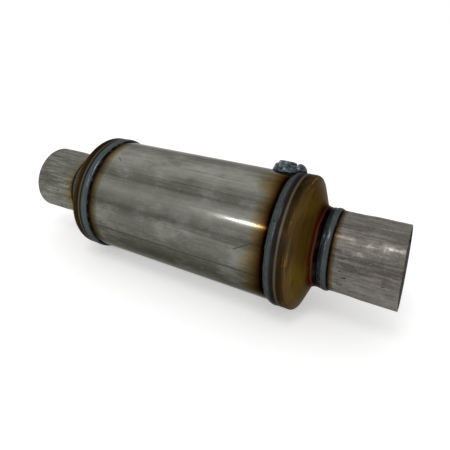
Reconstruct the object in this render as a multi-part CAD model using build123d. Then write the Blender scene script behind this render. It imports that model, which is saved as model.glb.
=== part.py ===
from build123d import *
import math
import os

# A universal catalytic converter: a welded steel can with a pressed cone and a pipe
# stub at each end, and two honeycomb bricks held inside by mats.
# The origin is the centre of the inlet stub's free end. The gas flows along +X, +Z is
# up, and the sensor port is near the outlet, leaning back towards +Y.
# Every size is in millimetres.

# Pipe stubs
stub_radius = 31.75          # outside of a 2.5 inch exhaust pipe, at the sized free end
stub_wall = 1.5
stub_sized_length = 25.0     # the free end that a clamp or a sleeve grips
stub_taper_length = 8.0
stub_reduction = 0.45        # how much smaller the stub is at its weld
inlet_stub_length = 54.4
outlet_stub_length = 53.1

# Cones, pressed from sheet
cone_wall = 2.0
cone_neck_radius = 31.7
cone_neck_run = 9.6          # neck end to the corner where the slope starts
cone_slope = 68.0            # degrees between the sloping wall and the axis
cone_neck_fillet = 6.9
cone_shoulder_fillet = 3.0
cone_skirt_length = 13.2     # straight sleeve over the shell, from the shoulder's corner

# Shell, rolled from sheet and seamed along its length
shell_wall = 1.5
shell_seat = 2.4             # how far the shell's end stays behind the shoulder's corner
seam_angle = 100.0           # degrees from +Z towards -Y
seam_gap = 1.6
seam_cap_width = 3.0
seam_cap_height = 0.35

# Weld beads
shell_weld_leg = 5.0         # from the skirt's lip to the toe on the shell
shell_weld_lap = 3.2         # how far the bead runs back over the skirt
shell_weld_crown = 0.4
shell_weld_heel_slope = 0.35 # rise of the bead's face per millimetre along X, at the skirt
shell_weld_toe_slope = -1.1  # the same at the shell
neck_weld_reach = 4.9        # half of the bead's width
neck_weld_crown = 0.9

# Honeycomb bricks
brick_radius = 46.5
brick_length = 74.0
brick_skin = 1.4
brick_gap = 6.0
inlet_chamber = 6.0          # shell's inlet end to the front brick's face
cell_pitch = 6.35
cell_wall = 1.2

# Mats and the wire seals beside them
mat_thickness = 4.5
seal_width = 3.0
seal_bevel = 0.8

# Sensor port
port_brick_gap = 5.6         # rear brick's end to the bung's side
port_toe_gap = 0.4           # the bung's other side to the outlet end weld's toe
port_lean = -24.0            # degrees from +Z towards -Y
port_bore_radius = 8.2       # minor radius of an M18 x 1.5 thread
bung_radius = 10.5
bung_height = 6.2            # above the shell
bung_chamfer = 1.5
bung_spigot_radius = 9.4
bung_spigot_proud = 0.8      # how far it stands into the shell
bung_mouth_chamfer = 0.4
port_fit = 0.1
port_weld_foot = 1.4         # how far the bead spreads past the bung at its foot
port_weld_rise = 4.2         # how high it climbs the bung
port_weld_below = 4.0        # how far the bead's cone runs down before it is trimmed
lump_radius = 6.9            # the heavy end of the bead, beside the outlet cone
lump_offset = 10.6
lump_height = 1.8
plug_across_flats = 14.0
plug_head_height = 3.0
plug_recess = 0.5            # the head's root below the bung's mouth
plug_shank_length = 7.2
plug_corner_chamfer = 1.2

# Radii, from the brick outwards
shell_bore = brick_radius + mat_thickness
shell_radius = shell_bore + shell_wall
skirt_radius = shell_radius + cone_wall

# Positions along the axis, from the inlet stub's free end to the outlet's
slope_run = (skirt_radius - cone_neck_radius) / math.tan(math.radians(cone_slope))
shoulder_depth = cone_neck_run + slope_run
inlet_butt = inlet_stub_length
inlet_shoulder = inlet_butt + shoulder_depth
inlet_lip = inlet_shoulder + cone_skirt_length
inlet_toe = inlet_lip + shell_weld_leg
shell_start = inlet_shoulder + shell_seat
front_brick_start = shell_start + inlet_chamber
rear_brick_start = front_brick_start + brick_length + brick_gap
port_x = rear_brick_start + brick_length + port_brick_gap + bung_radius
outlet_toe = port_x + bung_radius + port_toe_gap
outlet_lip = outlet_toe + shell_weld_leg
outlet_shoulder = outlet_lip + cone_skirt_length
shell_end = outlet_shoulder - shell_seat
outlet_butt = outlet_shoulder + shoulder_depth
overall_length = outlet_butt + outlet_stub_length


def spun(*edges):
    """Turn a closed outline of (x, radius) edges about the X axis."""
    return revolve(Plane.XZ * make_face(list(edges)), Axis.X, 360)


def ring(start, end, inner, outer):
    """A plain tube along X."""
    tube = Cylinder(outer, end - start) - Cylinder(inner, end - start)
    return Pos((start + end) / 2, 0, 0) * Rot(0, 90, 0) * tube


def bar(radius):
    """A long cylinder along X, used to trim what sits on the shell."""
    return Rot(0, 90, 0) * Cylinder(radius, 3 * overall_length)


def at_angle(angle):
    """Turn about the X axis, so that +Z leans by an angle towards -Y."""
    return Rot(angle, 0, 0)


def flipped(solid, x):
    """Turn an inlet piece to face the other way and put its origin at x."""
    return Pos(x, 0, 0) * Rot(0, 0, 180) * solid


# Pipe stubs: a plain cut end, a sized stretch, and a slightly smaller end at the weld.

def stub_line(length, radius):
    taper_end = stub_sized_length + stub_taper_length
    small = radius - stub_reduction
    return [(0, radius), (stub_sized_length, radius), (taper_end, small), (length, small)]


def stub(length):
    outer = stub_line(length, stub_radius)
    inner = stub_line(length, stub_radius - stub_wall)
    return spun(*Polyline(*outer, *reversed(inner), outer[0]).edges())


inlet_stub = stub(inlet_stub_length)
outlet_stub = flipped(stub(outlet_stub_length), overall_length)
stub_weld_end_radius = stub_radius - stub_reduction


# Cones: a short neck, a steep wall and a straight skirt that sleeves over the shell.

def cone_line(inward):
    shift = inward * math.tan(math.radians(cone_slope / 2))
    corners = [
        (0, cone_neck_radius - inward),
        (cone_neck_run + shift, cone_neck_radius - inward),
        (shoulder_depth + shift, skirt_radius - inward),
        (shoulder_depth + cone_skirt_length, skirt_radius - inward),
    ]
    rounds = [cone_neck_fillet + inward, cone_shoulder_fillet - inward]
    return corners, FilletPolyline(*corners, radius=rounds)


def cone():
    outer_corners, outer = cone_line(0)
    inner_corners, inner = cone_line(cone_wall)
    lip = Line(outer_corners[-1], inner_corners[-1])
    butt = Line(outer_corners[0], inner_corners[0])
    return spun(*outer.edges(), *inner.edges(), lip, butt)


inlet_cone = Pos(inlet_butt, 0, 0) * cone()
outlet_cone = flipped(cone(), outlet_butt)


# Shell: a rolled tube with a gap along its seam and a hole for the port.

port = Pos(port_x, 0, 0) * at_angle(port_lean)
seam_slot = at_angle(seam_angle) * Pos(0, 0, shell_radius) * Box(2 * overall_length, seam_gap, 4 * shell_wall)
port_hole = port * Pos(0, 0, shell_radius) * Cylinder(bung_spigot_radius + port_fit, shell_radius)
shell_tube = ring(shell_start, shell_end, shell_bore, shell_radius)
body_shell = shell_tube - seam_slot - port_hole

# The seam's bead fills the gap, and stands proud between the two end welds.
cap_round = Pos((inlet_toe + outlet_toe) / 2, 0, shell_radius) * Rot(0, 90, 0) * extrude(
    Ellipse(seam_cap_height, seam_cap_width / 2), (outlet_toe - inlet_toe) / 2, both=True)
seam_cap = at_angle(seam_angle) * cap_round - bar(shell_radius)
shell_seam_weld = (shell_tube & seam_slot) + seam_cap


# End welds: a fillet from the skirt's lip down to the shell.

def shell_weld():
    """Bead on a lip at x = 0, with the shell running on towards +X."""
    toe = (shell_weld_leg, shell_radius)
    lip_foot = (0, shell_radius)
    lip_top = (0, skirt_radius)
    heel = (-shell_weld_lap, skirt_radius)
    crown = (0, skirt_radius + shell_weld_crown)
    slopes = [(1, shell_weld_heel_slope), (1, shell_weld_toe_slope)]
    face = Spline(heel, crown, toe, tangents=slopes)
    return spun(face, Line(toe, lip_foot), Line(lip_foot, lip_top), Line(lip_top, heel))


inlet_shell_weld = Pos(inlet_lip, 0, 0) * shell_weld()
outlet_shell_weld = flipped(shell_weld(), outlet_lip)


# Neck welds: a butt bead over the joint of a stub and a cone's neck.

def neck_weld():
    """Bead over a joint at x = 0, with the stub on the -X side."""
    stub_toe = (-neck_weld_reach, stub_weld_end_radius)
    stub_edge = (0, stub_weld_end_radius)
    neck_edge = (0, cone_neck_radius)
    neck_toe = (neck_weld_reach, cone_neck_radius)
    crown = (0, cone_neck_radius + neck_weld_crown)
    face = ThreePointArc(stub_toe, crown, neck_toe)
    return spun(face, Line(neck_toe, neck_edge), Line(neck_edge, stub_edge), Line(stub_edge, stub_toe))


inlet_neck_weld = Pos(inlet_butt, 0, 0) * neck_weld()
outlet_neck_weld = flipped(neck_weld(), outlet_butt)


# Sensor port: a threaded bung saddled on the shell, its bead, and a hexagon plug.

bung_top = shell_radius + bung_height
bung_base = shell_radius / 2
bung_body = Pos(0, 0, (bung_top + bung_base) / 2) * Cylinder(bung_radius, bung_top - bung_base)
bung_body = chamfer(bung_body.edges().group_by(Axis.Z)[-1], bung_chamfer)
spigot = Pos(0, 0, (shell_radius + bung_base) / 2) * Cylinder(bung_spigot_radius, shell_radius - bung_base)
bore = Pos(0, 0, shell_radius) * Cylinder(port_bore_radius, 2 * shell_radius)
mouth = Pos(0, 0, bung_top - bung_mouth_chamfer / 2) * Cone(
    port_bore_radius, port_bore_radius + bung_mouth_chamfer, bung_mouth_chamfer)
bung_solid = (bung_body - bar(shell_radius)) + (spigot - bar(shell_bore - bung_spigot_proud))
port_bung = port * (bung_solid - bore - mouth)

weld_top = shell_radius + port_weld_rise
weld_height = port_weld_rise + port_weld_below
weld_cone = Pos(0, 0, weld_top - weld_height / 2) * Cone(
    bung_radius + port_weld_foot * weld_height / port_weld_rise, bung_radius, weld_height)
lump = Pos(lump_offset, 0, shell_radius + lump_height) * Sphere(lump_radius)
bung_space = Pos(0, 0, shell_radius) * Cylinder(bung_radius, 2 * shell_radius)
skirt_space = ring(outlet_lip, outlet_butt, shell_bore, skirt_radius)
bung_weld = port * (weld_cone + lump - bung_space) - bar(shell_radius) - skirt_space - outlet_shell_weld

hex_corner = plug_across_flats / 2 / math.cos(math.radians(30))
head_root = bung_top - plug_recess
head = Pos(0, 0, head_root) * extrude(RegularPolygon(hex_corner, 6), plug_head_height)
head_cap = Pos(0, 0, head_root + plug_head_height / 2) * Cylinder(hex_corner, plug_head_height)
head_cap = chamfer(head_cap.edges().group_by(Axis.Z)[-1], plug_corner_chamfer)
shank = Pos(0, 0, head_root - plug_shank_length / 2) * Cylinder(port_bore_radius, plug_shank_length)
port_plug = port * ((head & head_cap) + shank)


# Bricks: a ceramic disc with square cells running right through.

def cell_centres():
    reach = int(brick_radius / cell_pitch) + 1
    limit = brick_radius - brick_skin
    half = (cell_pitch - cell_wall) / 2
    for i in range(-reach, reach):
        for j in range(-reach, reach):
            y = (i + 0.5) * cell_pitch
            z = (j + 0.5) * cell_pitch
            if math.hypot(abs(y) + half, abs(z) + half) < limit:
                yield y, z


def brick(start):
    side = cell_pitch - cell_wall
    cells = [Pos(y, z, 0) * Wire.make_rect(side, side) for y, z in cell_centres()]
    section = Face(Wire.make_circle(brick_radius), cells)
    return Pos(start, 0, 0) * Rot(0, 90, 0) * extrude(section, brick_length)


front_brick = brick(front_brick_start)
rear_brick = brick(rear_brick_start)


# Mats fill the space round each brick, with a knitted wire seal at each end.

def mat(start):
    return ring(start + seal_width, start + brick_length - seal_width, brick_radius, shell_bore)


def seal(start):
    plain = ring(start, start + seal_width, brick_radius, shell_bore)
    return chamfer(plain.edges().filter_by(GeomType.CIRCLE), seal_bevel)


solids = {
    "inlet_stub": inlet_stub,
    "outlet_stub": outlet_stub,
    "inlet_cone": inlet_cone,
    "outlet_cone": outlet_cone,
    "body_shell": body_shell,
    "shell_seam_weld": shell_seam_weld,
    "inlet_shell_weld": inlet_shell_weld,
    "outlet_shell_weld": outlet_shell_weld,
    "inlet_neck_weld": inlet_neck_weld,
    "outlet_neck_weld": outlet_neck_weld,
    "port_bung": port_bung,
    "port_bung_weld": bung_weld,
    "port_plug": port_plug,
    "front_brick": front_brick,
    "rear_brick": rear_brick,
}
for name, start in (("front", front_brick_start), ("rear", rear_brick_start)):
    solids[name + "_mat"] = mat(start)
    solids[name + "_mat_inlet_seal"] = seal(start)
    solids[name + "_mat_outlet_seal"] = seal(start + brick_length - seal_width)

os.makedirs("parts", exist_ok=True)
for name, solid in solids.items():
    export_step(solid, "parts/" + name + ".step")
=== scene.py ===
import math

import bmesh
import bpy
from mathutils import Matrix, Vector, noise


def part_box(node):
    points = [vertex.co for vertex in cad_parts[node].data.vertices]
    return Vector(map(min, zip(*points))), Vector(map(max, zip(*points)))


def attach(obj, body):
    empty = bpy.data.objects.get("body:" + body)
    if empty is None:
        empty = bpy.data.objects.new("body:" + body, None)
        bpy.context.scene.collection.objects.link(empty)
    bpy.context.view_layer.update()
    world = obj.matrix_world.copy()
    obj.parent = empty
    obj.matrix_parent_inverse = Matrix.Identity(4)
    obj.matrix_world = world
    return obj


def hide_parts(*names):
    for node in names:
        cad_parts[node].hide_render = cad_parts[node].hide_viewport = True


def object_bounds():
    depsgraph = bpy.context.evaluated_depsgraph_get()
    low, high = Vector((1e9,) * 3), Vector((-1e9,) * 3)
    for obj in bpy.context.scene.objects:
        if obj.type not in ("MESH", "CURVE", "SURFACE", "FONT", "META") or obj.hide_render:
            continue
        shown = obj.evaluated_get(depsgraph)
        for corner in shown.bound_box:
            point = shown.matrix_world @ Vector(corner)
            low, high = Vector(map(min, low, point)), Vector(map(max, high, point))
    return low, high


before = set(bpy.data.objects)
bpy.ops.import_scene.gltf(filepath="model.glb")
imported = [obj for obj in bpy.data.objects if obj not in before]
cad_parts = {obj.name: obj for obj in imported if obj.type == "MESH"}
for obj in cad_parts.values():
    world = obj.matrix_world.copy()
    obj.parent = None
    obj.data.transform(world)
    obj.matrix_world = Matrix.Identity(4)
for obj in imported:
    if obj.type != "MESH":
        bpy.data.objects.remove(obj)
solid_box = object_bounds()

# The studio: a white floor under the converter, an even white sky, a soft lamp overhead, and a narrow strip
# lamp on the left that draws the thin bright line along the shell.
MM = 0.001
EYE_PLACE = (0.36498, -0.31715, 0.18068)
EYE_TILT = 72.679
EYE_TURN = 30.812
EYE_LENS = 35.196
EYE_SENSOR = 36
EYE_SHIFT = (0.06346, -0.17864)
EYE_NEAREST = 0.01
FLOOR_HALF = 6.0
FLOOR_DEPTH = 0.2 * MM
FLOOR_GREY = (0.86, 0.86, 0.86)
FLOOR_PALE = (0.8772, 0.8772, 0.8772)
FLOOR_GLOW = 0.4
SKY_ON_OBJECT = 0.7
SOFT_LAMP = {"name": "soft_lamp", "at": (0.27, -0.6, 1.15), "to": (0.27, 0, 0), "size": (0.22, 0.4),
             "power": 2.6}
LINE_LAMP = {"name": "line_lamp", "at": (-0.1, -0.984, 0.654), "to": (0.245, 0, 0), "size": (0.26, 0.011),
             "power": 1.0}


def mesh_object(name, mesh):
    """A new object in the scene."""
    thing = bpy.data.objects.new(name, mesh)
    bpy.context.scene.collection.objects.link(thing)
    return thing


class Link:
    """One node's output. Sums on it add Math nodes to its tree."""

    def __init__(self, plan, socket):
        self.plan = plan
        self.socket = socket

    def other(self, key):
        """Another output of the same node."""
        return Link(self.plan, self.socket.node.outputs[key])

    def maths(self, operation, *values):
        """Any Math node, with this output as its first value."""
        return self.plan.add("ShaderNodeMath", {"operation": operation}, dict(enumerate((self,) + values)))

    def __add__(self, value):
        return self.maths("ADD", value)

    def __sub__(self, value):
        return self.maths("SUBTRACT", value)

    def __mul__(self, value):
        return self.maths("MULTIPLY", value)

    def __truediv__(self, value):
        return self.maths("DIVIDE", value)

    def __rsub__(self, value):
        return self.plan.add("ShaderNodeMath", {"operation": "SUBTRACT"}, {0: value, 1: self})

    def __rtruediv__(self, value):
        return self.plan.add("ShaderNodeMath", {"operation": "DIVIDE"}, {0: value, 1: self})

    __radd__ = __add__
    __rmul__ = __mul__


class Plan:
    """A node tree being built, for a finish or for a mesh."""

    def __init__(self, tree):
        self.tree = tree

    def feed(self, socket, value):
        """Set an input, or link it."""
        if isinstance(value, Link):
            self.tree.links.new(value.socket, socket)
        elif socket.type == "RGBA" and len(value) == 3:
            socket.default_value = (*value, 1)
        else:
            socket.default_value = value

    def add(self, kind, settings=None, inputs=None, out=0):
        """Add any node: its settings first, then the values or links of its inputs."""
        node = self.tree.nodes.new(kind)
        for name, value in (settings or {}).items():
            if name == "stops":
                stops = node.color_ramp.elements
                while len(stops) < len(value):
                    stops.new(1)
                for stop, (place, colour) in zip(stops, value):
                    stop.position = place
                    stop.color = (*colour, 1)
            elif name == "points":
                curve = node.mapping.curves[0]
                for place, height in value[1:-1]:
                    curve.points.new(place, height)
                curve.points[0].location = value[0]
                curve.points[-1].location = value[-1]
                node.mapping.update()
            else:
                setattr(node, name, value)
        for key, value in (inputs or {}).items():
            self.feed(node.inputs[key], value)
        return Link(self, node.outputs[out])

    def between(self, value, low, high, start=0.0, end=1.0):
        """A soft step that goes from start to end while value goes from low to high."""
        return self.add("ShaderNodeMapRange", {"interpolation_type": "SMOOTHSTEP"},
                        {0: value, 1: low, 2: high, 3: start, 4: end})

    def ramp(self, value, span, stops):
        """A colour for a value between 0 and span. The stops are given in the value's own unit."""
        placed = [(place / span, colour) for place, colour in stops]
        return self.add("ShaderNodeValToRGB", {"stops": placed}, {0: value / span})

    def mix(self, factor, first, second, blend="MIX"):
        """A mix of two colours."""
        return self.add("ShaderNodeMix", {"data_type": "RGBA", "blend_type": blend},
                        {0: factor, 6: first, 7: second}, out=2)

    def cloud(self, place, scale, detail=2.0, rough=0.5):
        """Noise from 0 to 1 about 0.5."""
        return self.add("ShaderNodeTexNoise", inputs={"Vector": place, "Scale": scale, "Detail": detail,
                                                      "Roughness": rough})


class Finish(Plan):
    """A material with one Principled shader, in millimetres on the converter's own axes."""

    def __init__(self, name, **constants):
        self.material = bpy.data.materials.new(name)
        self.material.use_nodes = True
        super().__init__(self.material.node_tree)
        self.shader = self.tree.nodes["Principled BSDF"]
        self.set(**constants)
        metres = self.add("ShaderNodeTexCoord", out="Object")
        self.place = self.add("ShaderNodeVectorMath", {"operation": "SCALE"}, {0: metres, "Scale": 1 / MM})
        self.x = self.add("ShaderNodeSeparateXYZ", inputs={0: self.place})

    def set(self, **values):
        """Set or link the shader's inputs by name, with _ for a space."""
        for name, value in values.items():
            self.feed(self.shader.inputs[name.replace("_", " ")], value)

    def around(self):
        """Degrees round the axis, from 0 on top towards the side with the seam, up to 360."""
        y, z = self.x.other(1), self.x.other(2)
        turn = (0 - y).maths("ARCTAN2", z) * (180 / math.pi)
        return (turn + 360).maths("MODULO", 360)

    def pattern(self, scale, detail=2.0, rough=0.5, along=1.0, across=1.0, shift=0.0):
        """Noise on the piece. A small along or across draws it out that way."""
        place = self.place
        if (along, across, shift) != (1.0, 1.0, 0.0):
            place = self.add("ShaderNodeVectorMath", {"operation": "MULTIPLY_ADD"},
                             {0: place, 1: (along, across, across), 2: (shift, shift, shift)})
        return self.cloud(place, scale, detail, rough)

    def bump(self, height, depth):
        """Relief on the surface: a height from 0 to 1, and its depth in millimetres."""
        self.set(Normal=self.add("ShaderNodeBump", inputs={"Height": height, "Distance": depth * MM}))

    def wear(self, node):
        """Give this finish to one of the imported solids."""
        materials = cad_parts[node].data.materials
        materials.clear()
        materials.append(self.material)


def backdrop_ray(plan):
    """1 for a ray that shows the backdrop, straight from the camera or by way of metal or glass."""
    straight = plan.add("ShaderNodeLightPath", out="Is Camera Ray")
    bounced = straight.other("Is Glossy Ray").maths("MAXIMUM", straight.other("Is Transmission Ray"))
    return straight.maths("MAXIMUM", bounced)


def lamp(name, at, to, size, power):
    """A rectangular lamp at one place, aimed at another. Its first size lies along the converter."""
    light = bpy.data.lights.new(name, "AREA")
    light.shape = "RECTANGLE"
    light.size, light.size_y = size
    light.energy = power
    thing = mesh_object(name, light)
    thing.location = at
    back = (Vector(at) - Vector(to)).normalized()
    along = (Vector((1, 0, 0)) - back * back.x).normalized()
    turned = Matrix((along, back.cross(along), back)).transposed()
    thing.rotation_euler = turned.to_euler()


eye = bpy.data.cameras.new("eye")
eye.lens = EYE_LENS
eye.sensor_width = EYE_SENSOR
eye.shift_x, eye.shift_y = EYE_SHIFT
eye.clip_start = EYE_NEAREST
camera = mesh_object("eye", eye)
camera.location = EYE_PLACE
camera.rotation_euler = (math.radians(EYE_TILT), 0, math.radians(EYE_TURN))
bpy.context.scene.camera = camera
bpy.context.scene.view_settings.view_transform = "Standard"

floor_height = solid_box[0][2] - FLOOR_DEPTH
corners = [(-1, -1), (1, -1), (1, 1), (-1, 1)]
floor_mesh = bpy.data.meshes.new("floor")
floor_mesh.from_pydata([(FLOOR_HALF * x, FLOOR_HALF * y, floor_height) for x, y in corners], [],
                       [(0, 1, 2, 3)])
floor = mesh_object("floor", floor_mesh)
paper = Finish("floor_paper", Roughness=0.9, Emission_Strength=FLOOR_GLOW)
paper.set(Base_Color=paper.mix(paper.pattern(0.2), FLOOR_GREY, FLOOR_PALE),
          Emission_Color=paper.mix(backdrop_ray(paper), (0, 0, 0), (1, 1, 1)))
floor_mesh.materials.append(paper.material)

world = bpy.data.worlds.new("sky")
world.use_nodes = True
bpy.context.scene.world = world
sky = Plan(world.node_tree)
background = world.node_tree.nodes["Background"]
sky.feed(background.inputs["Color"], (1, 1, 1))
sky.feed(background.inputs["Strength"], SKY_ON_OBJECT + backdrop_ray(sky) * (1 - SKY_ON_OBJECT))
lamp(**SOFT_LAMP)
lamp(**LINE_LAMP)


# The two pipe stubs: drawn stainless tube, cut square, dull and mottled, with fine lengthwise marks, dark
# specks and a few reddish stains. The welding heat has left a straw band beside each neck bead, wide on the
# inlet.
def srgb(*screen):
    """A colour as a screen shows it, made linear."""
    return tuple(((c / 255 + 0.055) / 1.055) ** 2.4 if c > 10 else c / 255 / 12.92 for c in screen)


STEEL = {"Metallic": 1.0, "Specular_Tint": (0.5, 0.49, 0.47)}
STEEL_BLUE = -8
STUB_WANDER = 30
# Grey by angle round each stub: partly mill bands, partly painted light and shade.
STUB_TONES_AND_SHADE = [(0, 119), (10, 108), (20, 98), (30, 97), (40, 94), (50, 95), (58, 90), (68, 83), (76, 82),
              (88, 100), (98, 98), (108, 121), (125, 130), (150, 100), (180, 106), (215, 96), (250, 108),
              (290, 95), (330, 108), (360, 119)]
STUB_PALE = srgb(150, 148, 142)
STUB_DARK = srgb(62, 58, 51)
STUB_SPOT = srgb(34, 31, 28)
STUB_STAIN = srgb(92, 76, 66)
# Each tint list starts black at the bead: partly heat colour, partly painted shade in the undercut.
TINT_BROWN = [(0.0, (0.03, 0.015, 0.008)), (0.12, (0.11, 0.06, 0.025)), (0.24, (0.25, 0.15, 0.075)),
              (0.42, (0.43, 0.34, 0.19)), (0.6, (0.58, 0.51, 0.32)), (0.78, (0.74, 0.66, 0.47)),
              (1.0, (1, 1, 1))]
TINT_STRAW = [(0.0, (0.03, 0.015, 0.008)), (0.06, (0.11, 0.06, 0.025)), (0.13, (0.3, 0.2, 0.1)),
              (0.22, (0.66, 0.54, 0.34)), (0.34, (0.95, 0.82, 0.56)), (0.6, (1.05, 0.93, 0.66)),
              (0.78, (1.0, 0.93, 0.76)), (1.0, (1, 1, 1))]
TINT_GOLD = [(0.0, (0.01, 0.002, 0.0)), (0.08, (0.035, 0.008, 0.002)), (0.16, (0.17, 0.075, 0.02)),
             (0.25, (0.3, 0.17, 0.05)), (0.34, (0.42, 0.28, 0.11)), (0.42, (0.56, 0.38, 0.2)),
             (0.54, (0.67, 0.51, 0.32)), (0.67, (0.79, 0.7, 0.49)), (0.8, (0.88, 0.84, 0.69)),
             (1.0, (1, 1, 1))]
STUBS = {"inlet_stub": {"band": 6.0, "low_side": 6.5, "polish": 0.2, "green": 1, "tints": TINT_STRAW},
         "outlet_stub": {"band": 4.2, "low_side": 0.0, "polish": 0.0, "green": -3, "tints": TINT_BROWN}}


def heat_tint(finish, colour, distance, width, tints):
    """Temper colours over a colour: black at the bead, partly painted shade in its undercut, then brown, gold
    and straw, out to the width.
    """
    return finish.mix(1.0, colour, finish.ramp(distance / width, 1, tints), "MULTIPLY")


def tone_and_shade_ramp(finish, around, tones, green, blue):
    """A grey for each angle round the tube: partly the mill's lengthwise bands, partly painted light and
    shade.
    """
    return finish.ramp(around, 360, [(place, srgb(tone, tone + green, tone + blue)) for place, tone in tones])


def coated(finish, colour, *coats):
    """Lay coats over a colour. A coat is a pattern, where it starts and is full, a strength and a colour."""
    for pattern, start, full, strength, coat in coats:
        colour = finish.mix(finish.between(pattern, start, full) * strength, colour, coat)
    return colour


for node, stub in STUBS.items():
    pipe = Finish(node + "_steel", **STEEL)
    bead_low, bead_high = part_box(node.replace("stub", "neck_weld"))
    if node == "inlet_stub":
        from_bead = bead_low[0] / MM - pipe.x
    else:
        from_bead = pipe.x - bead_high[0] / MM
    around = pipe.around()
    marks = pipe.pattern(0.55, detail=5, rough=0.65, along=0.07)
    hairs = pipe.pattern(2.6, detail=3, rough=0.6, along=0.05)
    mottle = pipe.pattern(0.1, detail=5, rough=0.62)
    specks = pipe.pattern(0.42, detail=3, rough=0.55, along=0.5, shift=7.3)
    dust = pipe.pattern(1.1, detail=4, rough=0.7, along=0.45, shift=1.9)
    stains = pipe.pattern(0.14, detail=4, rough=0.6, along=0.35, shift=3.1)
    # Partly painted light and shade: the stub's grey follows the angle round it.
    steel = tone_and_shade_ramp(pipe, around + (mottle - 0.5) * STUB_WANDER, STUB_TONES_AND_SHADE, stub["green"], STEEL_BLUE)
    polished = pipe.between(marks, 0.48, 0.7) * (stub["polish"] + 0.42) + stub["polish"] * 0.5
    steel = pipe.mix(polished, steel, STUB_PALE)
    steel = coated(
        pipe, steel,
        (marks, 0.5, 0.3, 0.5, STUB_DARK),
        (hairs, 0.48, 0.68, 0.4, STUB_DARK),
        (stains, 0.55, 0.7, 0.4, STUB_STAIN),
        (dust, 0.54, 0.7, 0.34, STUB_PALE),
        (dust, 0.46, 0.3, 0.5, STUB_DARK),
        (specks, 0.62, 0.68, pipe.between(around, 40, 95, 0.35, 0.8), STUB_SPOT))
    low_side = pipe.between(around, 35, 65) * pipe.between(around, 120, 160, 1, 0)
    width = low_side * stub["low_side"] + (mottle - 0.5) * (stub["band"] * 0.6) + stub["band"]
    steel = heat_tint(pipe, steel, from_bead, width, stub["tints"])
    pipe.set(Base_Color=steel, Roughness=pipe.between(mottle, 0.42, 0.6, 0.46, 0.25))
    pipe.bump(marks * 0.5 + mottle * 0.3 + hairs * 0.2, depth=0.09)
    pipe.wear(node)

# The two cones: pressed stainless sheet, each sleeved over an end of the shell. The heat of two welds has
# turned them gold on the face, red and then black into the neck, and brown on the skirt, with a pale line at
# its lip. The black in the neck's hollow is partly painted shade, and the dark groove beside the end bead is
# painted shade. The shoulder carries a painted highlight and painted glints, and the top is painted darker.
TINTED_STEEL = {"Metallic": 0.6, "Specular_Tint": (0.5, 0.49, 0.47), "Specular_IOR_Level": 0.0}
# Black into the neck: partly heat colour, partly painted shade in the hollow.
CONE_NECK_BLACK_AND_SHADE = srgb(6, 2, 2)
CONE_DEEP = srgb(20, 7, 3)
CONE_PINK = srgb(70, 42, 28)
CONE_RED = srgb(46, 16, 2)
CONE_AMBER = srgb(66, 39, 6)
CONE_OLIVE = srgb(90, 70, 25)
CONE_GOLD = srgb(96, 75, 38)
# The shoulder's heat tint with a painted highlight on it.
CONE_SHOULDER_HIGHLIGHT = srgb(80, 63, 36)
CONE_BRONZE = srgb(48, 38, 18)
CONE_BROWN = srgb(38, 30, 15)
CONE_LIP = srgb(82, 76, 66)
# Painted shade in the groove beside the end bead.
CONE_GROOVE_SHADE = srgb(26, 25, 24)
# Painted glints: thin bright arcs on the shoulder.
CONE_PAINTED_GLINT = srgb(150, 112, 60)
CONE_SMOKE = srgb(60, 52, 42)
# Painted shade, multiplied over the top of each cone.
CONE_PAINTED_SHADE = srgb(172, 160, 142)
CONE_RUN = 40
CONE_STOPS = [(0, CONE_NECK_BLACK_AND_SHADE), (4.6, CONE_NECK_BLACK_AND_SHADE), (6.1, CONE_DEEP), (6.8, CONE_PINK), (7.1, CONE_PINK),
              (7.8, CONE_RED), (8.6, CONE_RED), (10.0, CONE_AMBER), (11.6, CONE_OLIVE), (14.6, CONE_OLIVE),
              (16.3, CONE_GOLD), (19.3, CONE_SHOULDER_HIGHLIGHT), (21.2, CONE_BRONZE), (24, CONE_BROWN),
              (CONE_RUN, CONE_BROWN)]

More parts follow.
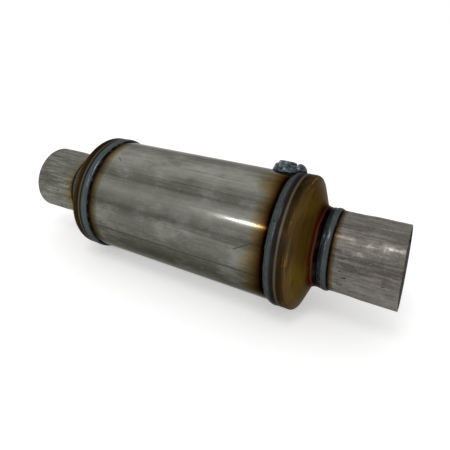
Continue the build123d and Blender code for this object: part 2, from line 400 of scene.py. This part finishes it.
for node in ("inlet_cone", "outlet_cone"):
    sheet = Finish(node + "_steel", **TINTED_STEEL)
    low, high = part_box(node)
    lap_low, lap_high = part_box(node.replace("cone", "shell_weld"))
    if node == "inlet_cone":
        from_butt = sheet.x - low[0] / MM
        to_bead = lap_low[0] / MM - sheet.x
    else:
        from_butt = high[0] / MM - sheet.x
        to_bead = sheet.x - lap_high[0] / MM
    around = sheet.around()
    rings = sheet.pattern(0.9, detail=4, rough=0.6, across=0.07)
    smears = sheet.pattern(0.05, detail=5, rough=0.6)
    grain = sheet.pattern(0.9, detail=4, rough=0.65)
    wander = (smears - 0.5) * 2.0 + (rings - 0.5) * 1.4
    steel = sheet.ramp(from_butt + wander, CONE_RUN, CONE_STOPS)
    steel = coated(sheet, steel, (smears, 0.5, 0.75, 0.45, CONE_SMOKE))
    # Painted shade: the top of the cone is darkened.
    painted_shade_top = sheet.between(around, 8, 62, 1, 0) + sheet.between(around, 300, 355)
    steel = sheet.mix(painted_shade_top * 0.7, steel, CONE_PAINTED_SHADE, "MULTIPLY")
    # Painted highlight: patches of the shoulder's lit colour over the face.
    steel = coated(sheet, steel, (rings, 0.52, 0.7, sheet.between(from_butt, 10, 14) * 0.3, CONE_SHOULDER_HIGHLIGHT))
    # Painted glints: thin bright arcs along the shoulder, with lower roughness there.
    glint_arcs = sheet.pattern(1.7, detail=3, rough=0.6, across=0.03, shift=4.7)
    shoulder = sheet.between(from_butt, 15, 17.5) * sheet.between(from_butt, 20, 23, 1, 0.15)
    glint_arcs = sheet.between(glint_arcs, 0.53, 0.66) * shoulder * sheet.between(smears, 0.42, 0.58, 0.25, 1)
    steel = sheet.mix(glint_arcs * (sheet.between(grain, 0.42, 0.6) * 0.6 + 0.16), steel, CONE_PAINTED_GLINT)
    steel = coated(
        sheet, steel,
        (rings, 0.48, 0.3, sheet.between(from_butt, 9, 13) * 0.5, CONE_BROWN),
        # Painted shade: darker in the groove beside the end bead.
        (smears, 0.4, 0.6, sheet.between(to_bead, 0.6, 1.6, 1, 0) * 0.8, CONE_GROOVE_SHADE),
        (to_bead, 0.8, 1.6, sheet.between(to_bead, 2.4, 3.4, 1, 0) * 0.9, CONE_LIP))
    sheet.set(Base_Color=steel, Roughness=0.36 - glint_arcs * 0.12)
    sheet.bump(rings * 0.5 + grain * 0.5, depth=0.06)
    sheet.wear(node)

# The shell: cold-rolled stainless sheet rolled into a tube. It keeps the mill's lengthwise bands, fine dark
# lines and cloudy patches. Its grey by angle is partly those bands and partly painted light and shade:
# lighter on top, darker low on the near side. There are temper colours beside both end beads, one scratch and
# one nick. The etched mark is left off.
# Grey by angle round the shell: mill bands mixed with painted light on top and painted shade low on the near
# side.
SHELL_TONES_AND_SHADE = [(0, 113), (5, 122), (12, 129), (18, 136), (24, 134), (31, 123), (36, 107), (41, 97), (45, 89),
               (49, 104), (54, 114), (58, 121), (63, 114), (69, 97), (74, 82), (78, 85), (82, 96), (87, 100),
               (94, 92), (101, 86), (108, 76), (114, 73), (124, 76), (145, 90), (170, 104), (195, 112),
               (220, 98), (245, 112), (275, 99), (305, 114), (335, 110), (360, 113)]
SHELL_BEND = 4
SHELL_FRAY = 9
SHELL_TINT = 15.5
SHELL_TINT_TOP = 26.0
SHELL_TINT_SIDE = 20.0
SHELL_TINT_INLET = 10.0
DARK_LINES = [(33.5, 0.7, 0.16), (38.6, 0.45, 0.36), (39.9, 0.3, 0.3), (41.6, 0.5, 0.24), (46.0, 0.4, 0.34),
              (47.3, 0.3, 0.14), (73.5, 1.6, 0.18), (78.2, 0.5, 0.14), (96.2, 0.5, 0.1), (198, 0.8, 0.2),
              (236, 0.5, 0.24), (289, 0.9, 0.2), (318, 0.4, 0.24)]
SHELL_DARK = srgb(52, 52, 48)
SHELL_PALE = srgb(158, 159, 153)
SCRATCH = {"start": (238.8, 82.0), "end": (252.5, 73.2), "width": 0.5}
NICK = {"start": (105.5, 24.5), "end": (110.0, 28.8), "width": 0.5}
SCRATCH_DARK = srgb(50, 46, 40)


def line_mask(finish, around, start, end, width):
    """A thin mark on the shell, from one (x, degrees) to another."""
    arc = math.radians(1) * shell_radius
    run = Vector((end[0] - start[0], (end[1] - start[1]) * arc))
    along_x, along_arc = run.normalized()
    x = finish.x - start[0]
    y = (around - start[1]) * arc
    along = x * along_x + y * along_arc
    off = (x * along_arc - y * along_x).maths("ABSOLUTE")
    return finish.between(off, width / 2, width, 1, 0) * finish.between(along, -width, width) * \
        finish.between(along, run.length - width, run.length + width, 1, 0)


shell = Finish("shell_steel", **STEEL)
shell_low, shell_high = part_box("body_shell")
shell_radius = shell_high[1] / MM
inlet_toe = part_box("inlet_shell_weld")[1][0] / MM
outlet_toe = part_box("outlet_shell_weld")[0][0] / MM
around = shell.around()
streaks = shell.pattern(0.3, detail=6, rough=0.66, along=0.03)
hairs = shell.pattern(1.8, detail=4, rough=0.6, along=0.012)
clouds = shell.pattern(0.055, detail=6, rough=0.62, along=0.55)
speckle = shell.pattern(0.7, detail=4, rough=0.6, along=0.35)
bend = shell.pattern(0.02, along=0.4, shift=5.0)
broken = shell.pattern(0.05, detail=3, across=0.02)
angle = around + (bend - 0.5) * SHELL_BEND
# Partly painted light and shade: the tube's grey follows the angle round it.
steel = tone_and_shade_ramp(shell, angle + (streaks - 0.5) * SHELL_FRAY, SHELL_TONES_AND_SHADE, 0, STEEL_BLUE)
upper = shell.between(around, 55, 25) * 0.5 + 0.5
steel = coated(
    shell, steel,
    (clouds, 0.47, 0.68, upper * 0.6, SHELL_PALE),
    (clouds, 0.47, 0.3, upper * 0.4, SHELL_DARK),
    (streaks, 0.52, 0.76, upper * 0.34, SHELL_PALE),
    (streaks, 0.48, 0.27, upper * 0.52, SHELL_DARK),
    (hairs, 0.48, 0.7, 0.24, SHELL_DARK),
    (speckle, 0.52, 0.75, 0.2, SHELL_PALE))
for place, width, depth in DARK_LINES:
    off = (angle - place).maths("ABSOLUTE")
    line = shell.between(off, width * 0.4, width * 1.4, depth, 0) * (broken * 1.2 + 0.5)
    steel = shell.mix(line, steel, SHELL_DARK)
top = shell.between(around, 15, 35, SHELL_TINT_TOP - SHELL_TINT, 0)
side = shell.between(around, 72, 92, 0, SHELL_TINT_SIDE - SHELL_TINT) * shell.between(around, 150, 220, 1, 0)
outlet_width = top + side + SHELL_TINT + (clouds - 0.5) * 12 + (streaks - 0.5) * 6
steel = heat_tint(shell, steel, outlet_toe - shell.x, outlet_width, TINT_GOLD)
inlet_width = SHELL_TINT_INLET + (clouds - 0.5) * 5 + (streaks - 0.5) * 3
steel = heat_tint(shell, steel, shell.x - inlet_toe, inlet_width, TINT_BROWN)
marks = line_mask(shell, around, **SCRATCH).maths("MAXIMUM", line_mask(shell, around, **NICK))
steel = shell.mix(marks * 0.75, steel, SCRATCH_DARK)
shell.set(Base_Color=steel, Roughness=0.1 + clouds * 0.09)
shell.bump(hairs * 0.4 + streaks * 0.3 + speckle * 0.3 - marks * 0.8, depth=0.012)
shell.wear("body_shell")

# The end beads and the neck beads: TIG fillets laid round the can in one pass, with fine ripples and a dark
# undercut line along each side, painted black: partly the undercut, partly painted shade in it. The metal has
# cooled to a blue-grey. Bands run from the cone's edge outwards.
END_BEAD = {"Rise": 2.28, "Ripples": 188, "Ripple_Height": 0.13, "Under": 0.4}
END_SECTION = [(0, 0.78), (0.06, 0.86), (0.2, 0.97), (0.38, 1.0), (0.6, 0.84), (0.8, 0.5), (0.95, 0.1),
               (1, 0.0)]
NECK_BEAD = {"Rise": 1.18, "Ripples": 112, "Ripple_Height": 0.11, "Under": 0.4}
NECK_SECTION = [(0, 0.2), (0.14, 0.3), (0.3, 0.56), (0.36, 0.52), (0.41, 0.42), (0.48, 0.78), (0.62, 1.0),
                (0.8, 0.88), (0.92, 0.4), (1, 0.0)]
STEPS_PER_RIPPLE = 4
STEPS_ACROSS = 18
TOUCHING = 0.005
RIPPLE_BOW = 0.45
RIPPLE_WAVER = 1.4
EDGE_WAVER = 0.09
BEAD_SINK = 0.02
BEAD_BLACK = srgb(6, 3, 2)
BEAD_DARK = srgb(34, 35, 35)
BEAD_PALE = srgb(88, 98, 100)
# The black at the toe end of each band list is partly painted shade in the undercut. The pale strip just
# inside the outlet bead's toe is a painted highlight.
INLET_BANDS = [(0, (52, 54, 51)), (0.08, (60, 64, 63)), (0.2, (73, 80, 81)), (0.4, (73, 83, 86)),
               (0.6, (72, 82, 85)), (0.78, (70, 76, 77)), (0.86, (24, 22, 20)), (0.9, (6, 3, 2)),
               (1, (6, 3, 2))]
OUTLET_BANDS = [(0, (60, 58, 54)), (0.05, (46, 45, 43)), (0.13, (30, 30, 31)), (0.24, (40, 42, 42)),
                (0.34, (58, 64, 63)), (0.5, (65, 75, 74)), (0.66, (62, 71, 70)), (0.72, (50, 54, 54)),
                (0.82, (70, 76, 76)), (0.89, (22, 21, 21)), (0.93, (6, 3, 2)), (1, (6, 3, 2))]
# The black at the cone's edge of the neck bead is painted shade in the hollow of the neck.
NECK_BANDS = [(0, (6, 3, 2)), (0.18, (6, 3, 2)), (0.24, (36, 38, 39)), (0.3, (22, 24, 24)), (0.35, (8, 9, 9)),
              (0.4, (38, 43, 44)), (0.48, (66, 73, 76)), (0.84, (66, 74, 77)), (0.9, (60, 63, 65)),
              (0.94, (14, 11, 9)), (1, (6, 3, 2))]


class Form(Plan):
    """A Geometry Nodes tree with named inputs, which builds one mesh."""

    def __init__(self, name, **sizes):
        tree = bpy.data.node_groups.new(name, "GeometryNodeTree")
        super().__init__(tree)
        tree.interface.new_socket("Geometry", in_out="OUTPUT", socket_type="NodeSocketGeometry")
        for size, value in sizes.items():
            kind = "NodeSocketInt" if isinstance(value, int) else "NodeSocketFloat"
            tree.interface.new_socket(size, in_out="INPUT", socket_type=kind).default_value = value
        self.given = tree.nodes.new("NodeGroupInput")

    def size(self, name):
        """One of the tree's named inputs."""
        return Link(self, self.given.outputs[name])

    def point(self, x, y, z):
        """A place in metres, from three sums in millimetres."""
        place = self.add("ShaderNodeCombineXYZ", inputs={0: x, 1: y, 2: z})
        return self.add("ShaderNodeVectorMath", {"operation": "SCALE"}, {0: place, "Scale": MM})

    def here(self):
        """The place of the point in hand."""
        return self.add("ShaderNodeSeparateXYZ", inputs={0: self.add("GeometryNodeInputPosition")})

    def grid(self, along, across):
        """A flat grid, one across and centred, with so many lines each way."""
        return self.add("GeometryNodeMeshGrid", inputs={"Size X": 1, "Size Y": 1, "Vertices X": along,
                                                        "Vertices Y": across})

    def marked(self, mesh, name, value):
        """Keep a number on the mesh for its finish to read."""
        return self.add("GeometryNodeStoreNamedAttribute", {"data_type": "FLOAT", "domain": "POINT"},
                        {"Geometry": mesh, "Name": name, "Value": value})

    def moved(self, mesh, place, chosen=True):
        """The mesh with its points, or the chosen ones, put at a place."""
        return self.add("GeometryNodeSetPosition", inputs={"Geometry": mesh, "Selection": chosen,
                                                           "Position": place})

    def close(self, mesh, material):
        """Join touching points, and send the mesh out in one finish."""
        mesh = self.add("GeometryNodeMergeByDistance", inputs={"Geometry": mesh, "Distance": TOUCHING * MM})
        mesh = self.add("GeometryNodeRealizeInstances", inputs={0: mesh})
        mesh = self.add("GeometryNodeSetMaterial", inputs={"Geometry": mesh, "Material": material})
        self.feed(self.tree.nodes.new("NodeGroupOutput").inputs[0], mesh)

    def made(self, name, smooth=True, **values):
        """The plain mesh that the tree makes with these values."""
        blank = mesh_object(name + "_form", bpy.data.meshes.new(name + "_form"))
        modifier = blank.modifiers.new("form", "NODES")
        modifier.node_group = self.tree
        for item in self.tree.interface.items_tree:
            if item.in_out == "INPUT" and item.name in values:
                modifier[item.identifier] = values[item.name]
        ready = blank.evaluated_get(bpy.context.evaluated_depsgraph_get())
        mesh = bpy.data.meshes.new_from_object(ready)
        bpy.data.objects.remove(blank)
        shape = bmesh.new()
        shape.from_mesh(mesh)
        bmesh.ops.recalc_face_normals(shape, faces=shape.faces)
        for face in shape.faces:
            face.smooth = smooth
        shape.to_mesh(mesh)
        shape.free()
        mesh.name = name
        return mesh_object(name, mesh)


def bead_grid(form, along, across):
    """A grid with two sums from 0 to 1: along the bead, and once round its section."""
    place = form.here()
    return form.grid(along, across), place + 0.5, place.other(1) + 0.5


def ring_bead(name, section, material):
    """A bead laid round the can, from the edge on the cone to the edge on the pipe or shell."""
    form = Form(name, Cone_Edge=0.0, Pipe_Edge=0.0, Foot=1.0, Rise=1.0, Ripples=10, Ripple_Height=0.1,
                Under=0.4)
    count = form.size("Ripples")
    grid, along, round_section = bead_grid(form, count * STEPS_PER_RIPPLE + 1, STEPS_ACROSS * 2 + 1)
    across = (round_section * 2).maths("PINGPONG", 1)
    under = round_section.maths("GREATER_THAN", 0.5001) * round_section.maths("LESS_THAN", 0.9999)
    angle = along * (2 * math.pi)
    sine, cosine = angle.maths("SINE"), angle.maths("COSINE")
    path = form.add("ShaderNodeCombineXYZ", inputs={0: form.size("Cone_Edge"), 1: sine, 2: cosine})
    waver = form.cloud(path, 3.0, 3) - 0.5
    bow = (across * 2 - 1).maths("POWER", 2)
    wave = (along * count + bow * RIPPLE_BOW + waver * RIPPLE_WAVER).maths("FRACT")
    scallop = 1 - (wave * 2 - 1).maths("POWER", 2)
    inside = (across * 4 * (1 - across)).maths("MINIMUM", 1)
    rise = form.add("ShaderNodeFloatCurve", {"points": section}, {"Value": across}) * form.size("Rise")
    top = form.size("Foot") + rise + scallop * inside * form.size("Ripple_Height") - inside * BEAD_SINK
    bottom = form.size("Foot") - form.size("Under")
    radius = top + under * (bottom - top)
    width = form.size("Pipe_Edge") - form.size("Cone_Edge")
    x = form.size("Cone_Edge") + width * (across + across * waver * EDGE_WAVER)
    grid = form.marked(form.marked(grid, "across", across), "scallop", scallop)
    form.close(form.moved(grid, form.point(x, 0 - sine * radius, cosine * radius)), material)
    return form


def bead_finish(name, bands):
    """Cooled weld metal. The bands give its colour from the cone's edge to the pipe's edge."""
    bead = Finish(name, **TINTED_STEEL)
    across = bead.add("ShaderNodeAttribute", {"attribute_name": "across"}, out="Fac")
    scallop = bead.add("ShaderNodeAttribute", {"attribute_name": "scallop"}, out="Fac")
    patches = bead.pattern(0.16, detail=5, rough=0.62)
    grit = bead.pattern(1.3, detail=4, rough=0.62)
    pits = bead.pattern(0.62)
    middle = bead.between(across, 0.4, 0.5) * bead.between(across, 0.62, 0.75, 1, 0)
    metal = bead.ramp(across + (grit - 0.5) * 0.04, 1, [(place, srgb(*tone)) for place, tone in bands])
    metal = coated(
        bead, metal,
        (patches, 0.46, 0.72, bead.between(across, 0.2, 0.4) * 0.28, BEAD_PALE),
        (scallop, 0.35, 0.0, 0.25, BEAD_DARK),
        (grit, 0.54, 0.7, 0.35, BEAD_DARK),
        (pits, 0.6, 0.66, middle * 0.8, BEAD_BLACK))
    bead.set(Base_Color=metal, Roughness=0.1 + patches * 0.14)
    bead.bump(grit, depth=0.05)
    return bead.material


inlet_bead = ring_bead("inlet_bead", END_SECTION, bead_finish("inlet_bead_metal", INLET_BANDS))
outlet_bead = ring_bead("outlet_bead", END_SECTION, bead_finish("outlet_bead_metal", OUTLET_BANDS))
neck_bead = ring_bead("neck_bead", NECK_SECTION, bead_finish("neck_bead_metal", NECK_BANDS))
bead_forms = {"inlet_shell_weld": inlet_bead, "outlet_shell_weld": outlet_bead, "inlet_neck_weld": neck_bead,
              "outlet_neck_weld": neck_bead}
for node, form in bead_forms.items():
    low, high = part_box(node)
    cone_edge, pipe_edge = low[0] / MM, high[0] / MM
    if node in ("outlet_shell_weld", "inlet_neck_weld"):
        cone_edge, pipe_edge = pipe_edge, cone_edge
    if "shell" in node:
        sizes = END_BEAD
        foot = shell_radius
    else:
        sizes = NECK_BEAD
        foot = high[1] / MM - sizes["Rise"] - sizes["Ripple_Height"]
    bead = form.made(
        node.replace("weld", "bead"), Cone_Edge=cone_edge, Pipe_Edge=pipe_edge, Foot=foot, **sizes)
    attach(bead, "root")
    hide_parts(node)

# The seam: the shell's two edges meet in a lengthwise slot, low on the near side. A narrow bead of weld metal
# fills the slot, and was then rolled almost flat.
SHELL_WALL = 1.5
SEAM_ANGLE = 100.0
SEAM_CAP = {"Width": 2.6, "Gap": 1.6, "Rise": 0.22}
SEAM_PITCH = 1.5
SEAM_RUN_OUT = 1.5
SEAM_BOW = 0.4
SEAM_WAVER = 0.6
SEAM_DULL = srgb(76, 75, 68)
SEAM_PALE = srgb(94, 93, 86)
SEAM_LINE = srgb(56, 55, 50)


def seam_bead(material):
    """A straight bead along X. Its foot fills the slot down to the bore, and both ends close to a point."""
    form = Form("seam_bead", Start=0.0, End=1.0, Cap_Start=0.0, Cap_End=1.0, Outside=52.5, Bore=51.0,
                Width=2.6, Gap=1.6, Rise=0.2, Ripples=10)
    count = form.size("Ripples")
    grid, along, round_section = bead_grid(form, count * STEPS_PER_RIPPLE + 1, STEPS_ACROSS + 1)
    across = (round_section * 2).maths("PINGPONG", 1)
    under = round_section.maths("GREATER_THAN", 0.5001)
    x = form.size("Start") + along * (form.size("End") - form.size("Start"))
    tip = (along * count).maths("MINIMUM", 1) * ((1 - along) * count).maths("MINIMUM", 1)
    cap = form.between(x, form.size("Cap_Start"), form.size("Cap_Start") + SEAM_RUN_OUT) * \
        form.between(x, form.size("Cap_End") - SEAM_RUN_OUT, form.size("Cap_End"), 1, 0)
    bow = (across * 2 - 1).maths("POWER", 2)
    waver = form.cloud(form.add("ShaderNodeCombineXYZ", inputs={0: x}), 0.12, 3) - 0.5
    scallop = 1 - ((along * count + bow * SEAM_BOW).maths("FRACT") * 2 - 1).maths("POWER", 2)
    rise = (1 - bow) * form.size("Rise") * cap * (scallop * 0.3 + 0.7)
    top = form.size("Outside") + rise
    wide = form.size("Gap") + (form.size("Width") - form.size("Gap")) * cap * (1 - under)
    off = (across - 0.5) * wide * tip + waver * cap * SEAM_WAVER
    turn = math.radians(SEAM_ANGLE) + off / form.size("Outside")
    middle = (form.size("Outside") + form.size("Bore")) / 2
    radius = middle + (top + under * (form.size("Bore") - top) - middle) * tip
    place = form.point(x, 0 - turn.maths("SINE") * radius, turn.maths("COSINE") * radius)
    form.close(form.moved(grid, place), material)
    return form


rolled = Finish("seam_metal", Roughness=0.2, **STEEL)
patches = rolled.pattern(0.4, detail=4, along=0.25)
off_line = (rolled.around() - SEAM_ANGLE - 0.5).maths("ABSOLUTE")
metal = rolled.mix(patches, SEAM_DULL, SEAM_PALE)
metal = coated(rolled, metal, (off_line, 0.6, 0.25, 0.6, SEAM_LINE))
metal = heat_tint(rolled, metal, outlet_toe - rolled.x, SHELL_TINT_SIDE, TINT_GOLD)
metal = heat_tint(rolled, metal, rolled.x - inlet_toe, SHELL_TINT_INLET, TINT_BROWN)
rolled.set(Base_Color=metal)
rolled.bump(patches, depth=0.03)
seam = seam_bead(rolled.material).made(
    "seam_bead", Start=shell_low[0] / MM, End=shell_high[0] / MM, Cap_Start=inlet_toe, Cap_End=outlet_toe,
    Outside=shell_radius, Bore=shell_radius - SHELL_WALL,
    Ripples=int((shell_high[0] - shell_low[0]) / MM / SEAM_PITCH), **SEAM_CAP)
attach(seam, "root")
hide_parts("shell_seam_weld")

# The sensor port: a turned steel bung saddled on the shell, held by a heavy hand-laid bead that piles up
# beside the outlet cone, and closed by a hexagon plug. Heat has turned all three a dark blue-grey.
PORT_LEAN = 24.0
PORT_VOXEL = 0.45
PORT_SMOOTHINGS = 6
PORT_RIPPLES = 30
PORT_RIPPLE_HEIGHT = 0.3
PORT_RIPPLE_SINK = 0.6
PORT_RIPPLE_SLANT = 0.12
PORT_RIPPLE_WAVER = {"scale": 90, "size": 0.7}
PORT_LUMPS = {"scale": 260, "size": 0.35}
PORT_SMOOTH_TO = 11.7
BEAD_STEEL = {"dark": srgb(28, 30, 31), "mid": srgb(66, 75, 80), "pale": srgb(122, 134, 142)}
BUNG_STEEL = {"dark": srgb(38, 42, 44), "mid": srgb(70, 78, 82), "pale": srgb(126, 137, 143)}
PLUG_STEEL = {"dark": srgb(44, 48, 49), "mid": srgb(88, 95, 98), "pale": srgb(150, 157, 161)}


def port_finish(name, dark, mid, pale):
    """Steel that the heat has darkened, with pale patches where the scale has come off."""
    dull = Finish(name, Metallic=1.0)
    patches = dull.pattern(0.3, detail=4, rough=0.62)
    grit = dull.pattern(2.2, detail=3, rough=0.6)
    metal = dull.mix(dull.between(patches, 0.36, 0.52), dark, mid)
    metal = dull.mix(dull.between(patches, 0.54, 0.72), metal, pale)
    dull.set(Base_Color=metal, Roughness=0.26 + grit * 0.2)
    dull.bump(grit, depth=0.06)
    return dull


low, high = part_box("port_bung")
port_foot = Vector(((low[0] + high[0]) / 2, 0, 0))
lean = math.radians(PORT_LEAN)
port_axis = Vector((0, math.sin(lean), math.cos(lean)))
port_side = Vector((0, math.cos(lean), -math.sin(lean)))
bead_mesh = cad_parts["port_bung_weld"].data.copy()
bead_mesh.materials.clear()
shape = bmesh.new()
shape.from_mesh(bead_mesh)
bmesh.ops.remove_doubles(shape, verts=shape.verts, dist=0.001 * MM)
shape.to_mesh(bead_mesh)
shape.free()
port_bead = mesh_object("port_bead", bead_mesh)
fine = port_bead.modifiers.new("fine", "REMESH")
fine.mode = "VOXEL"
fine.voxel_size = PORT_VOXEL * MM
melted = port_bead.modifiers.new("melted", "SMOOTH")
melted.iterations = PORT_SMOOTHINGS
ready = port_bead.evaluated_get(bpy.context.evaluated_depsgraph_get())
bead_mesh = bpy.data.meshes.new_from_object(ready)
bead_mesh.name = "port_bead"
port_bead.modifiers.clear()
port_bead.data = bead_mesh
shape = bmesh.new()
shape.from_mesh(bead_mesh)
shape.normal_update()
moves = []
for vert in shape.verts:
    place = vert.co - port_foot
    reach = math.hypot(place.x, place.dot(port_side)) / MM
    turn = math.atan2(place.dot(port_side), place.x)
    height = place.dot(port_axis) / MM
    clear = min(max(reach - PORT_SMOOTH_TO, 0), 1)
    waver = noise.noise(vert.co * PORT_RIPPLE_WAVER["scale"]) * PORT_RIPPLE_WAVER["size"]
    wave = (turn / (2 * math.pi) * PORT_RIPPLES + height * PORT_RIPPLE_SLANT + waver) % 1
    ripple = 1 - (2 * wave - 1) ** 2 - PORT_RIPPLE_SINK
    lump = noise.noise(vert.co * PORT_LUMPS["scale"]) * PORT_LUMPS["size"]
    outwards = max(vert.normal.dot(vert.co.normalized()), 0)
    moves.append(vert.normal * ((ripple * PORT_RIPPLE_HEIGHT + lump) * clear * outwards * MM))
for vert, move in zip(shape.verts, moves):
    vert.co += move
for face in shape.faces:
    face.smooth = True
shape.to_mesh(bead_mesh)
shape.free()
bead_mesh.materials.append(port_finish("port_bead_metal", **BEAD_STEEL).material)
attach(port_bead, "root")
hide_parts("port_bung_weld")
port_finish("bung_steel", **BUNG_STEEL).wear("port_bung")
port_finish("plug_steel", **PLUG_STEEL).wear("port_plug")

# The two bricks: extruded cordierite honeycomb with a pale brown washcoat. Every cell runs right through. The
# cells that would meet the round skin are filled, as they are at the skin of a real brick.
CELL_PITCH = 1.27
CELL_WALL = 0.2
CELL_CORNER = 0.7
BRICK_SKIN = 1.0
BRICK_CREAM = srgb(186, 170, 142)
BRICK_BROWN = srgb(140, 118, 90)


def honeycomb(material):
    """A disc of square cells, pushed out along X."""
    form = Form("honeycomb", Start=0.0, Length=74.0, Radius=46.5, Pitch=1.27, Wall=0.2, Skin=1.0, Cells=74)
    start, radius = form.size("Start"), form.size("Radius")
    pitch, wall = form.size("Pitch"), form.size("Wall")
    lines = form.size("Cells") * 2 + 2
    half_width = (form.size("Cells") * pitch + wall) / 2

    def line_place(position):
        """Where a line of the grid lies. The lines come in pairs, one wall apart."""
        number = ((position + 0.5) * (lines - 1)).maths("ROUND")
        pair = (number / 2).maths("FLOOR")
        return pair * pitch + (number - pair * 2) * wall - half_width

    def in_cell(centre):
        """1 where a face's centre lies in a cell, and 0 in a wall."""
        return ((centre + half_width - wall / 2) / pitch).maths("FRACT").maths("COMPARE", 0.5, 0.25)

    place = form.here()
    spread = form.point(start, line_place(place), line_place(place.other(1)))
    face = form.moved(form.grid(lines, lines), spread)
    place = form.here()
    y, z = place.other(1) / MM, place.other(2) / MM
    reach = (y * y + z * z).maths("SQRT")
    clear_of_skin = reach.maths("LESS_THAN", radius - form.size("Skin") - pitch * CELL_CORNER)
    gone = (in_cell(y) * in_cell(z) * clear_of_skin).maths("MAXIMUM", reach.maths("GREATER_THAN", radius))
    face = form.add("GeometryNodeDeleteGeometry", {"domain": "FACE"}, {"Geometry": face, "Selection": gone})
    push = radius / reach
    edge = reach.maths("GREATER_THAN", radius - pitch / 2)
    face = form.moved(face, form.point(start, y * push, z * push), edge)
    length = form.point(form.size("Length"), 0.0, 0.0)
    pushed = form.add("GeometryNodeExtrudeMesh", {"mode": "FACES"}, {"Mesh": face, "Offset": length,
                                                                     "Individual": False})
    both = form.add("GeometryNodeJoinGeometry", inputs={0: pushed})
    form.feed(both.socket.node.inputs[0], form.add("GeometryNodeFlipFaces", inputs={0: face}))
    form.close(both, material)
    return form


ceramic = Finish("washcoated_ceramic", Roughness=0.92)
clouds = ceramic.pattern(0.12, detail=4, along=0.3)
ceramic.set(Base_Color=ceramic.mix(ceramic.between(clouds, 0.3, 0.7), BRICK_CREAM, BRICK_BROWN))
ceramic.bump(ceramic.pattern(2.5, detail=3), depth=0.05)
honeycomb_form = honeycomb(ceramic.material)
for node in ("front_brick", "rear_brick"):
    low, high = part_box(node)
    radius = high[1] / MM
    brick = honeycomb_form.made(
        node.replace("brick", "honeycomb"), smooth=False, Start=low[0] / MM, Length=(high[0] - low[0]) / MM,
        Radius=radius, Pitch=CELL_PITCH, Wall=CELL_WALL, Skin=BRICK_SKIN,
        Cells=2 * int(radius / CELL_PITCH + 1))
    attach(brick, "root")
    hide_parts(node)

# The mats and their seals: round each brick lies a mat of ceramic fibre, pressed between the brick and the
# shell. A ring of knitted stainless wire guards each edge of it from the gas.
FIBRE_DULL = srgb(205, 198, 184)
FIBRE_WHITE = srgb(232, 227, 216)
FIBRE_FLECK = srgb(150, 128, 96)
WIRE_DARK = srgb(70, 68, 64)
WIRE_PALE = srgb(150, 148, 142)
LOOPS_ALONG = 4.2
LOOPS_ROUND = 2.4

fibre = Finish("mat_fibre", Roughness=0.95)
strands = fibre.pattern(1.6, detail=4, rough=0.65, across=0.25)
felt = fibre.mix(strands, FIBRE_DULL, FIBRE_WHITE)
fibre.set(Base_Color=coated(fibre, felt, (fibre.pattern(1.1), 0.62, 0.68, 0.6, FIBRE_FLECK)))
fibre.bump(strands, depth=0.3)
knit = Finish("seal_wire", Metallic=1.0)
loops = (knit.x * LOOPS_ALONG).maths("SINE") * (knit.around() * LOOPS_ROUND).maths("SINE") * 0.5 + 0.5
knit.set(Base_Color=knit.mix(loops, WIRE_DARK, WIRE_PALE), Roughness=0.5 - loops * 0.2)
knit.bump(loops, depth=0.35)
for mat in ("front_mat", "rear_mat"):
    fibre.wear(mat)
    knit.wear(mat + "_inlet_seal")
    knit.wear(mat + "_outlet_seal")
